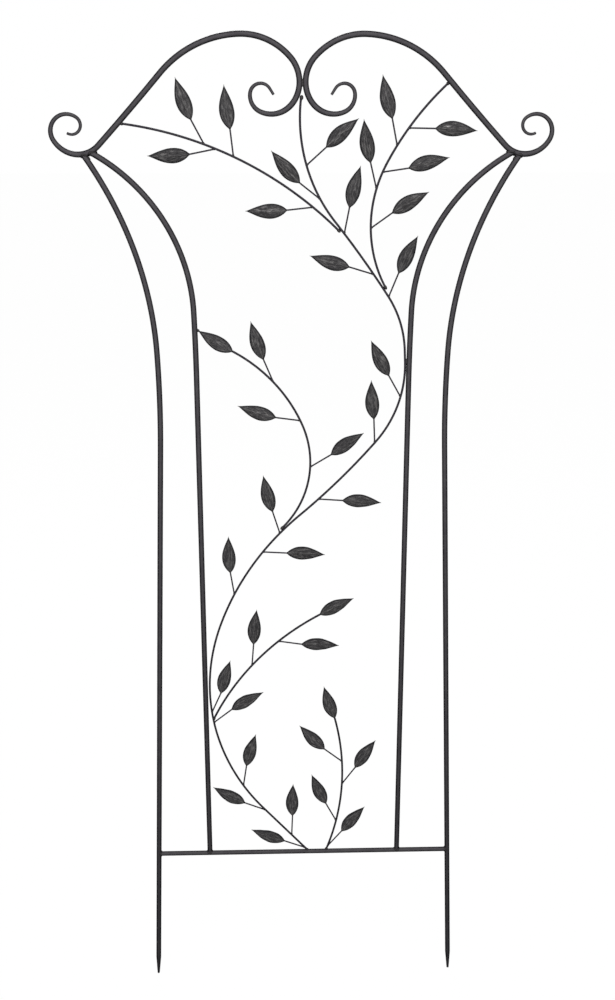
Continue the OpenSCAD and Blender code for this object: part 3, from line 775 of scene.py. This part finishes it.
def leaf_vein_group():
    """Veins stamped into a blade, and a painted shade at its rim, read from each spot's place on it
    in metres.
    """
    tree = Tree("Leaf veins", "Shader",
                [("Rib width", "Float", 0.0016), ("Vein width", "Float", 0.0019),
                 ("Vein spacing", "Float", 0.0115), ("Vein sweep", "Float", 2.0),
                 ("Rim width", "Float", 0.0042)],
                ["Midrib", "Side veins", "Strokes", "Rim", "Number"])
    m, times, given = tree.maths, tree.times, tree.given
    spot = tree.add("ShaderNodeAttribute", attribute_name="blade_spot").outputs["Vector"]
    along, off_rib, to_rim = tree.add("ShaderNodeSeparateXYZ", {0: spot}).outputs
    number = tree.add("ShaderNodeAttribute", attribute_name="leaf_number").outputs["Fac"]
    shift = tree.first("ShaderNodeCombineXYZ", {2: number})
    own_spot = tree.first("ShaderNodeVectorMath", {0: spot, 1: shift}, operation="ADD")
    waver = times(m("SUBTRACT", tree.noise(own_spot, 90.0, 2.0), 0.5), VEIN_WAVER)
    rib_at = m("ABSOLUTE", m("ADD", off_rib, waver))
    taper = m("SUBTRACT", 1.0, times(along, RIB_NARROWING))
    rib_w = times(given("Rib width"), m("MAXIMUM", taper, RIB_LEAST))
    side = m("GREATER_THAN", off_rib, 0.0)
    reach = times(m("ABSOLUTE", off_rib), given("Vein sweep"))
    curl = times(times(reach, reach), VEIN_CURL)
    swayed = m("ADD", along, times(waver, SIDE_WAVER))
    line = m("SUBTRACT", m("SUBTRACT", swayed, reach), curl)
    stagger = m("ADD", m("DIVIDE", line, given("Vein spacing")), times(side, 0.5))
    phase = m("ABSOLUTE", m("SUBTRACT", m("FRACT", stagger), 0.5))
    veins = tree.eased(times(phase, given("Vein spacing")), given("Vein width"), 0.0)
    inside = tree.eased(to_rim, FADE_FROM, FADE_TO)
    half = m("ADD", m("ABSOLUTE", off_rib), m("MAXIMUM", to_rim, FADE_FROM))
    drawn = tree.first("ShaderNodeCombineXYZ",
                       {0: times(along, STROKES_ALONG),
                        1: times(m("DIVIDE", off_rib, half), STROKES_ACROSS),
                        2: times(number, STROKES_APART)})
    strokes = tree.spread(tree.noise(drawn, 1.0, 2.5, 0.6), 0.5, 0.72)
    return tree.giving({"Midrib": tree.eased(rib_at, rib_w, 0.0), "Number": number,
                        "Side veins": times(veins, inside), "Strokes": times(strokes, inside),
                        "Rim": tree.eased(to_rim, given("Rim width"), LEAF_RIM_SHADE_DARKEST)})


class Finish(NodeBed):
    """A material being built, with its Principled shader at hand."""

    def __init__(self, name, roughness, specular=0.04):
        self.material = bpy.data.materials.new(name)
        self.material.use_nodes = True
        super().__init__(self.material.node_tree)
        self.shader = self.nodes["Principled BSDF"]
        self.shader.inputs["Roughness"].default_value = roughness
        self.shader.inputs["Specular IOR Level"].default_value = specular

    def group(self, tree, values=None):
        return self.add("ShaderNodeGroup", values, node_tree=tree)

    def mixed(self, share, a, b, how="MIX"):
        return self.add("ShaderNodeMix", {0: share, 6: a, 7: b}, data_type="RGBA",
                        blend_type=how).outputs[2]

    def with_painted_edge_shade(self, colour):
        """Painted shade: the coat's colour is darkened where its surface turns away from the eye.
        """
        facing = self.add("ShaderNodeLayerWeight", {"Blend": 0.5}).outputs["Facing"]
        edge_shade_mask = self.spread(facing, EDGE_SHADE_FROM, EDGE_SHADE_TO, 0.0, EDGE_SHADE_SHARE)
        return self.mixed(edge_shade_mask, colour, PAINTED_EDGE_SHADE_COAT)

    def feed(self, label, socket):
        self.links.new(socket, self.shader.inputs[label])

    def bumped(self, height, distance, over=None):
        values = {"Height": height, "Distance": distance, "Strength": 1.0}
        if over is not None:
            values["Normal"] = over
        return self.first("ShaderNodeBump", values)


def powder_coat(name, clouds, roughness, grain, rubbed, cloud_scale=60.0, rub=0.35):
    """Baked powder coat on steel: cloudy colour, orange peel, fine specks, a few thin spots and
    painted shade at the edges.
    """
    finish = Finish(name, roughness, specular=0.02)
    skin = finish.group(grain, {"Cloud scale": cloud_scale})
    worn = finish.group(rubbed, {"Amount": rub})
    dark, pale = clouds
    clouded = finish.mixed(finish.spread(skin.outputs["Cloud"], 0.3, 0.7), dark, pale)
    specked = finish.mixed(finish.times(skin.outputs["Specks"], SPECK_SHARE), clouded,
                           tuple(v * SPECK_GAIN for v in pale[:3]) + (1.0,))
    thin = finish.times(worn.outputs["Rub"], THIN_SHARE)
    colour = finish.mixed(thin, specked, THINNED_COAT)
    finish.feed("Base Color", finish.with_painted_edge_shade(colour))
    finish.feed("Roughness", finish.spread(skin.outputs["Cloud"], 0.25, 0.75,
                                           roughness + ROUGHNESS_SWING,
                                           roughness - ROUGHNESS_SWING))
    finish.feed("Normal", finish.bumped(skin.outputs["Peel"], PEEL_DEPTH))
    return finish.material


# How strongly the midrib, the side veins, rubbed spots, all of these together, and the painted rim
# shade show
RIB_SHARE = 0.6
SIDE_VEIN_SHARE = 0.4
LEAF_RUB_SHARE = 0.2
BRUSHED_SHARE = 0.85
LEAF_RIM_SHADE_SHARE = 0.9
# How much the leaves differ in tone, from the darkest to the palest
LEAF_TONES = (0.86, 1.12)
# How metallic a brushed spot is, and how high brush strokes stand beside stamped veins
BRUSHED_METAL = 0.35
STROKE_HEIGHT = 0.5
# Depth of the sheet's hammering and of its veins, in metres
HAMMER_DEPTH = 0.0004
VEIN_DEPTH = 0.0005


def leaf_coat(name, grain, rubbed, veins):
    """Dark hammered sheet whose raised veins have been brushed back to a dull bronze grey, with
    painted shade at its rim.
    """
    finish = Finish(name, 0.52)
    skin = finish.group(grain, {"Cloud scale": 170.0, "Peel scale": 420.0})
    worn = finish.group(rubbed, {"Scale": 240.0, "Amount": 0.9})
    drawn = finish.group(veins)
    clouded = finish.mixed(finish.spread(skin.outputs["Cloud"], 0.35, 0.65), *LEAF_CLOUDS)
    one_leaf = finish.spread(drawn.outputs["Number"], 0.0, 1.0, *LEAF_TONES)
    leaf_tone = finish.first("ShaderNodeCombineColor", {0: one_leaf, 1: one_leaf, 2: one_leaf})
    shaded = finish.mixed(1.0, clouded, leaf_tone, how="MULTIPLY")
    stamped = finish.maths("MAXIMUM", finish.times(drawn.outputs["Midrib"], RIB_SHARE),
                           finish.times(drawn.outputs["Side veins"], SIDE_VEIN_SHARE))
    patchy = finish.spread(skin.outputs["Cloud"], 0.35, 0.6, 0.15, 1.0)
    brushed = finish.maths("MAXIMUM", finish.times(stamped, patchy), drawn.outputs["Strokes"])
    lit = finish.maths("MAXIMUM", brushed, finish.times(worn.outputs["Rub"], LEAF_RUB_SHARE))
    veined = finish.mixed(finish.times(lit, BRUSHED_SHARE), shaded, BRUSHED_VEIN)
    # Painted shade: the leaf's colour darkens towards its rim
    rim_shaded = finish.mixed(finish.times(drawn.outputs["Rim"], LEAF_RIM_SHADE_SHARE), veined, PAINTED_LEAF_RIM_SHADE)
    finish.feed("Base Color", rim_shaded)
    finish.feed("Metallic", finish.times(lit, BRUSHED_METAL))
    finish.feed("Roughness", finish.spread(lit, 0.0, 1.0, 0.55, 0.40))
    raised = finish.maths("ADD", stamped, finish.times(drawn.outputs["Strokes"], STROKE_HEIGHT))
    hammered = finish.bumped(skin.outputs["Cloud"], HAMMER_DEPTH)
    finish.feed("Normal", finish.bumped(raised, VEIN_DEPTH, over=hammered))
    return finish.material


grain = coat_grain_group()
rubbed = rubbed_coat_group()
veins = leaf_vein_group()
bar_coat = powder_coat("Bar powder coat", BAR_CLOUDS, COAT_ROUGHNESS, grain, rubbed)
wire_coat = powder_coat("Wire powder coat", WIRE_CLOUDS, COAT_ROUGHNESS, grain, rubbed,
                        cloud_scale=110.0)
weld_coat = powder_coat("Coated weld metal", WELD_CLOUDS, WELD_ROUGHNESS, grain, rubbed,
                        cloud_scale=420.0, rub=0.8)
leaf_finish = leaf_coat("Brushed leaf sheet", grain, rubbed, veins)

# ---- The frame's bars ----

bent_bar = bent_bar_tree()
BAR_SIDES = 24
WIRE_SIDES = 14
SEAM_SIDES = 10
# What a bar falls short of the centreline of the bar that it is welded to
BAR_SHORT = 1


def leg_radius(s):
    drawn = min(1.0, s / SPIKE_POINT_L)
    return (SPIKE_POINT_D + (BAR_D - SPIKE_POINT_D) * drawn) / 2


def tip_taper(length, taper_l):
    """Radius along a bar that is drawn down to a scroll's tip over its last stretch."""
    def radius_at(s):
        drawn = max(0.0, s - length + taper_l) / taper_l
        return (BAR_D + (SCROLL_TIP_D - BAR_D) * drawn) / 2
    return radius_at


def plain(d):
    return lambda s: d / 2


# The centre scroll is followed from its tip, without the point at the crown that both runs share
arch_path = (swept_path(scroll_run, tip_taper(run_length(scroll_run), CENTRE_TAPER_L))[:0:-1]
             + swept_path(arch_run, tip_taper(run_length(arch_run), OUTER_TAPER_L)))
leg_path = swept_path(leg_run, leg_radius, end=run_length(leg_run) - BAR_SHORT)
stile_path = swept_path(stile_run, plain(BAR_D), start=BAR_SHORT,
                        end=run_length(stile_run) - BAR_SHORT)
rail_path = swept_path(rail_run, plain(RAIL_D), start=BAR_SHORT,
                       end=run_length(rail_run) - BAR_SHORT)

for name, path in (("arch", arch_path), ("leg", leg_path), ("stile", stile_path)):
    for side, laid_path in (("right", path), ("left", mirrored_path(path))):
        piece_name = side + "_" + name
        made(piece_name + "_bar", path_mesh(piece_name, [blunted(laid_path)]), bent_bar,
             {"Sides": BAR_SIDES, "Finish": bar_coat}, [piece_name])
made("bottom_rail_bar", path_mesh("bottom_rail", [rail_path]), bent_bar,
     {"Sides": BAR_SIDES, "Finish": bar_coat}, ["bottom_rail"])

# ---- The vine's stems and stalks ----

# Length of stalk that lies under its leaf, and the share of its girth that it loses there
PETIOLE = 7
PETIOLE_LOSS = 0.62


def stalk_radius(s):
    """A stalk keeps its girth up to the leaf, then is pressed down into the leaf's midrib."""
    return STALK_D / 2 * (1 - PETIOLE_LOSS * max(0.0, s - STALK_L) / PETIOLE)


for name, vine in VINES.items():
    stem_path = blunted(swept_path(vine_run(vine), plain(STEM_D), step=4))
    made(name + "_vine_wire", path_mesh(name + "_stem", [stem_path]), bent_bar,
         {"Sides": WIRE_SIDES, "Finish": wire_coat}, [name + "_stem"])
    stalk_paths = []
    for p, _, way, leaf in stalk_places(vine):
        outer = laid(p, way, [(STALK_L, 0), (PETIOLE, leaf - way)])
        stalk_paths.append(swept_path(outer, stalk_radius, step=6))
    made(name + "_vine_stalks", path_mesh(name + "_stalks", stalk_paths), bent_bar,
         {"Sides": WIRE_SIDES, "Finish": wire_coat}, [name + "_stalks"])

# ---- The leaves ----

LEAF_TIP_HALF_W = 0.4
# Seed of the first vine's leaves
FIRST_LEAF_SEED = 11

stamped_leaves = stamped_leaf_tree()
for number, (name, vine) in enumerate(VINES.items()):
    places = [(p, 0.0, h) for p, h in leaf_places(vine)]
    made(name + "_vine_leaves", point_mesh(name + "_leaves", places), stamped_leaves,
         {"Length": LEAF_L * MM, "Width": LEAF_W * MM, "Thickness": LEAF_T * MM,
          "Dome": LEAF_DOME * MM, "Bow": LEAF_BOW * MM, "Belly": LEAF_BELLY, "Power": LEAF_POWER,
          "Base half width": STALK_D / 2 * MM, "Tip half width": LEAF_TIP_HALF_W * MM,
          "Seed": FIRST_LEAF_SEED + number, "Finish": leaf_finish},
         ["%s_leaf_%d" % (name, i + 1) for i in range(len(places))])

# ---- Welds ----

weld_beads = weld_bead_tree()

# Points round a seam, and its radius, which is greater at a stile's foot
SEAM_POINTS = 40
SEAM_R = 1.5
FOOT_SEAM_R = 1.7
# How deep and how often a seam's girth ripples, and how deep and how fast it wanders
RIPPLE = 0.16
RIPPLE_COUNT = 9
WANDER = 0.07
WANDER_RATE = 1.7
# Added to an arch's radius where a bar as thick as itself meets it, so that the seam closes
SEAM_EASE = 0.01
# Share of a stile's width that the seam at its foot goes round, as the rail is thinner than a stile
FOOT_SHARE = 0.88


def saddle(axis_point, axis_heading, way, r, big_r, bead_r):
    """The seam where a bar of radius r, going off at a heading, meets one of radius big_r.
    Its girth ripples as overlapped weld passes do."""
    along, aside = toward(way), toward(way + 90)
    lean = math.radians(way - axis_heading)
    near_side = 1 if math.sin(lean) > 0 else -1
    ring = []
    for i in range(SEAM_POINTS):
        f = math.radians(360 * i / SEAM_POINTS)
        inner = math.sqrt(max(big_r ** 2 - (r * math.sin(f)) ** 2, 0.0))
        t = (inner * near_side - r * math.cos(f) * math.cos(lean)) / math.sin(lean)
        p = axis_point + along * t + aside * (r * math.cos(f))
        ripple = (1 + RIPPLE * math.sin(i * 2 * math.pi * RIPPLE_COUNT / SEAM_POINTS)
                  + WANDER * math.sin(i * WANDER_RATE + way))
        ring.append((p[0], r * math.sin(f), p[1], bead_r * ripple))
    return ring


leg_end = pose_at(arch_run, LEG_WELD_AT * arch_k)
stile_end = pose_at(arch_run, STILE_WELD_AT * arch_k)
rail_joint = pose_at(leg_run, RAIL_H / math.cos(math.radians(LEG_LEAN)))
frame_rings = [saddle(*arch_joint, end_heading(run) + 180, BAR_D / 2, BAR_D / 2 + SEAM_EASE, SEAM_R)
               for arch_joint, run in ((leg_end, leg_run), (stile_end, stile_run))]
frame_rings += [
    saddle(*rail_joint, 180, RAIL_D / 2, BAR_D / 2, SEAM_R),
    saddle(Vector((STILE_SPACING / 2, RAIL_H)), 0, 90, BAR_D / 2 * FOOT_SHARE, RAIL_D / 2,
           FOOT_SEAM_R)]
frame_rings += [mirrored_path(ring) for ring in frame_rings]
made("frame_weld_seams", path_mesh("frame_seams", frame_rings, closed=True), bent_bar,
     {"Sides": SEAM_SIDES, "Finish": weld_coat}, ["frame_welds"])

# The size of a bead is its radius along its heading, through the panel and across its heading.
# A row of beads runs up each face of the crown, where the two arch bars lie side by side.
CROWN_BEAD = (2.3, 1.6, 2.1)
CROWN_BEAD_FROM = -4.8
CROWN_BEAD_STEP = 2.6
CROWN_BEADS = 4
CROWN_BEAD_Y = 3.0
# One more fills the fork between each leg and its stile: how far it lies from the middle of their
# two welds, in which direction from the leg's heading, and how far it leans from upright
FORK_BEAD = (4.5, 4.0, 2.6)
FORK_DEPTH = 9
FORK_TURN = 195
FORK_BEAD_LEAN = 45

crown_beads = []
for y in (-CROWN_BEAD_Y, CROWN_BEAD_Y):
    for i in range(CROWN_BEADS):
        z = crown[1] + CROWN_BEAD_FROM + CROWN_BEAD_STEP * i
        crown_beads.append((Vector((0, z)), y, 90, CROWN_BEAD))
fork = (leg_end[0] + stile_end[0]) / 2 + toward(end_heading(leg_run) + FORK_TURN) * FORK_DEPTH
for side in (1, -1):
    place = Vector((side * fork[0], fork[1]))
    crown_beads.append((place, 0, 90 - side * FORK_BEAD_LEAN, FORK_BEAD))
made("crown_weld_beads", point_mesh("crown_beads", crown_beads), weld_beads,
     {"Lumps": 0.5, "Lump size": 2.2 * MM, "Finish": weld_coat}, [])

# The bead at the foot of a stalk, and how far it lies from the stem's centreline
STALK_BEAD = (2.4, 1.9, 1.9)
STALK_BEAD_AT = 2.2
# The bead of a stem on the rail, and how far up it lies, as a share of the rail's diameter
RAIL_BEAD = (2.4, 3.1, 3.1)
RAIL_BEAD_AT = 0.62
# The bead where the middle vine's leaf tip meets the stile
TIP_BEAD = (3.4, 2.4, 2.6)

# The beads of the stems: (run, length along it, shift to its left, size)
stem_beads = [
    (main_run, RAIL_D * RAIL_BEAD_AT, 0.0, RAIL_BEAD),
    (root_run, RAIL_D * RAIL_BEAD_AT, 0.0, RAIL_BEAD),
    (main_run, run_length(main_lower_run), -2.6, (5.5, 2.6, 2.6)),
    (main_run, run_length(main_run) - 2, -0.8, (4.2, 2.9, 3.1)),
    (crown_left_run, 6.5, 0.0, (2.6, 3.0, 3.0)),
    (crown_left_run, run_length(crown_left_run) - 1.5, 0.0, (4.2, 2.5, 2.8)),
    (crown_right_run, run_length(crown_right_run) - 6.2, 0.0, (2.4, 3.0, 3.0))]
stem_beads += [(run, 2.5, 0.0, (4.6, 2.5, 2.8)) for run in (crown_right_run, middle_run, low_run)]

wire_beads = []
for vine in VINES.values():
    for p, _, way, _ in stalk_places(vine):
        wire_beads.append((p + toward(way) * STALK_BEAD_AT, 0.0, way, STALK_BEAD))
for run, s, side, size in stem_beads:
    p, h = pose_at(run, s)
    wire_beads.append((p + side * toward(h + 90), 0.0, h, size))
wire_beads.append((middle_tip, 0.0, MIDDLE_TIP_HEADING, TIP_BEAD))
made("vine_weld_beads", point_mesh("vine_beads", wire_beads), weld_beads,
     {"Lumps": 0.4, "Lump size": 1.6 * MM, "Finish": weld_coat}, ["vine_welds"])

# ---- Floor, backdrop and light ----

STAGE_GREY = (0.86, 0.86, 0.86, 1.0)
# Share of plain white in what the eye sees of the floor, the rest being real light and shade
FLOOR_WHITE = 0.99
# Half the side of the floor, in metres
FLOOR_HALF = 30
# Strength of the white surroundings as a light. The eye sees them at full strength.
WORLD_FILL = 0.15
# Lamp: (place in metres, side of its square in metres, watts). All point at LAMP_AIM.
LAMP_AIM = (0, 0, 1.0)
LAMPS = {"key_softbox": ((0.2, -2.5, 4.5), 0.8, 240),
         "fill_softbox": ((-2.4, -2.4, 1.6), 1.6, 12),
         "back_softbox": ((-0.5, 2.8, 3.6), 1.2, 130)}


def white_stage(name, level):
    """White for the eye and for reflections, with only a part of the real light and shade on it."""
    finish = Finish(name, 0.9, specular=0.0)
    finish.shader.inputs["Base Color"].default_value = STAGE_GREY
    glow = finish.first("ShaderNodeEmission", {"Color": WHITE, "Strength": 1.0})
    blend = finish.first("ShaderNodeMixShader", {0: finish.times(finish.seen(), level),
                                                 1: finish.shader.outputs[0], 2: glow})
    finish.links.new(blend, finish.nodes["Material Output"].inputs["Surface"])
    return finish.material


def studio_floor(half):
    mesh = bpy.data.meshes.new("studio_floor")
    corners = [(-half, -half, 0), (half, -half, 0), (half, half, 0), (-half, half, 0)]
    mesh.from_pydata(corners, [], [(0, 1, 2, 3)])
    mesh.materials.append(white_stage("White floor", FLOOR_WHITE))
    floor = bpy.data.objects.new("studio_floor", mesh)
    bpy.context.scene.collection.objects.link(floor)


def soft_box(name, place, aim, size, power):
    lamp = bpy.data.lights.new(name, "AREA")
    lamp.shape = "SQUARE"
    lamp.size = size
    lamp.energy = power
    stand = bpy.data.objects.new(name, lamp)
    stand.location = place
    stand.rotation_euler = (Vector(aim) - Vector(place)).to_track_quat("-Z", "Y").to_euler()
    bpy.context.scene.collection.objects.link(stand)


def studio_world(fill):
    world = bpy.data.worlds.new("Studio")
    bpy.context.scene.world = world
    world.use_nodes = True
    bed = NodeBed(world.node_tree)
    back = bed.nodes["Background"]
    back.inputs["Color"].default_value = WHITE
    bed.links.new(bed.spread(bed.seen(), 0.0, 1.0, fill, 1.0), back.inputs["Strength"])


studio_floor(FLOOR_HALF)
studio_world(WORLD_FILL)
for name, (place, size, power) in LAMPS.items():
    soft_box(name, place, LAMP_AIM, size, power)

# ---- Camera ----

# Focal length as a share of the frame's height, place in metres, tilt up from straight down, and
# turn to the left, in degrees
CAMERA_FOCAL = 1.2261
CAMERA_PLACE = (-0.05327, -2.1270, 1.72009)
CAMERA_TILT = 72.0
CAMERA_TURN = -1.6533
view = bpy.data.cameras.new("view_camera")
view.sensor_fit = "VERTICAL"
view.sensor_height = 24
view.lens = CAMERA_FOCAL * view.sensor_height
eye = bpy.data.objects.new("view_camera", view)
eye.location = CAMERA_PLACE
eye.rotation_euler = (math.radians(CAMERA_TILT), 0.0, math.radians(CAMERA_TURN))
bpy.context.scene.collection.objects.link(eye)
bpy.context.scene.camera = eye
bpy.context.scene.view_settings.view_transform = "Standard"
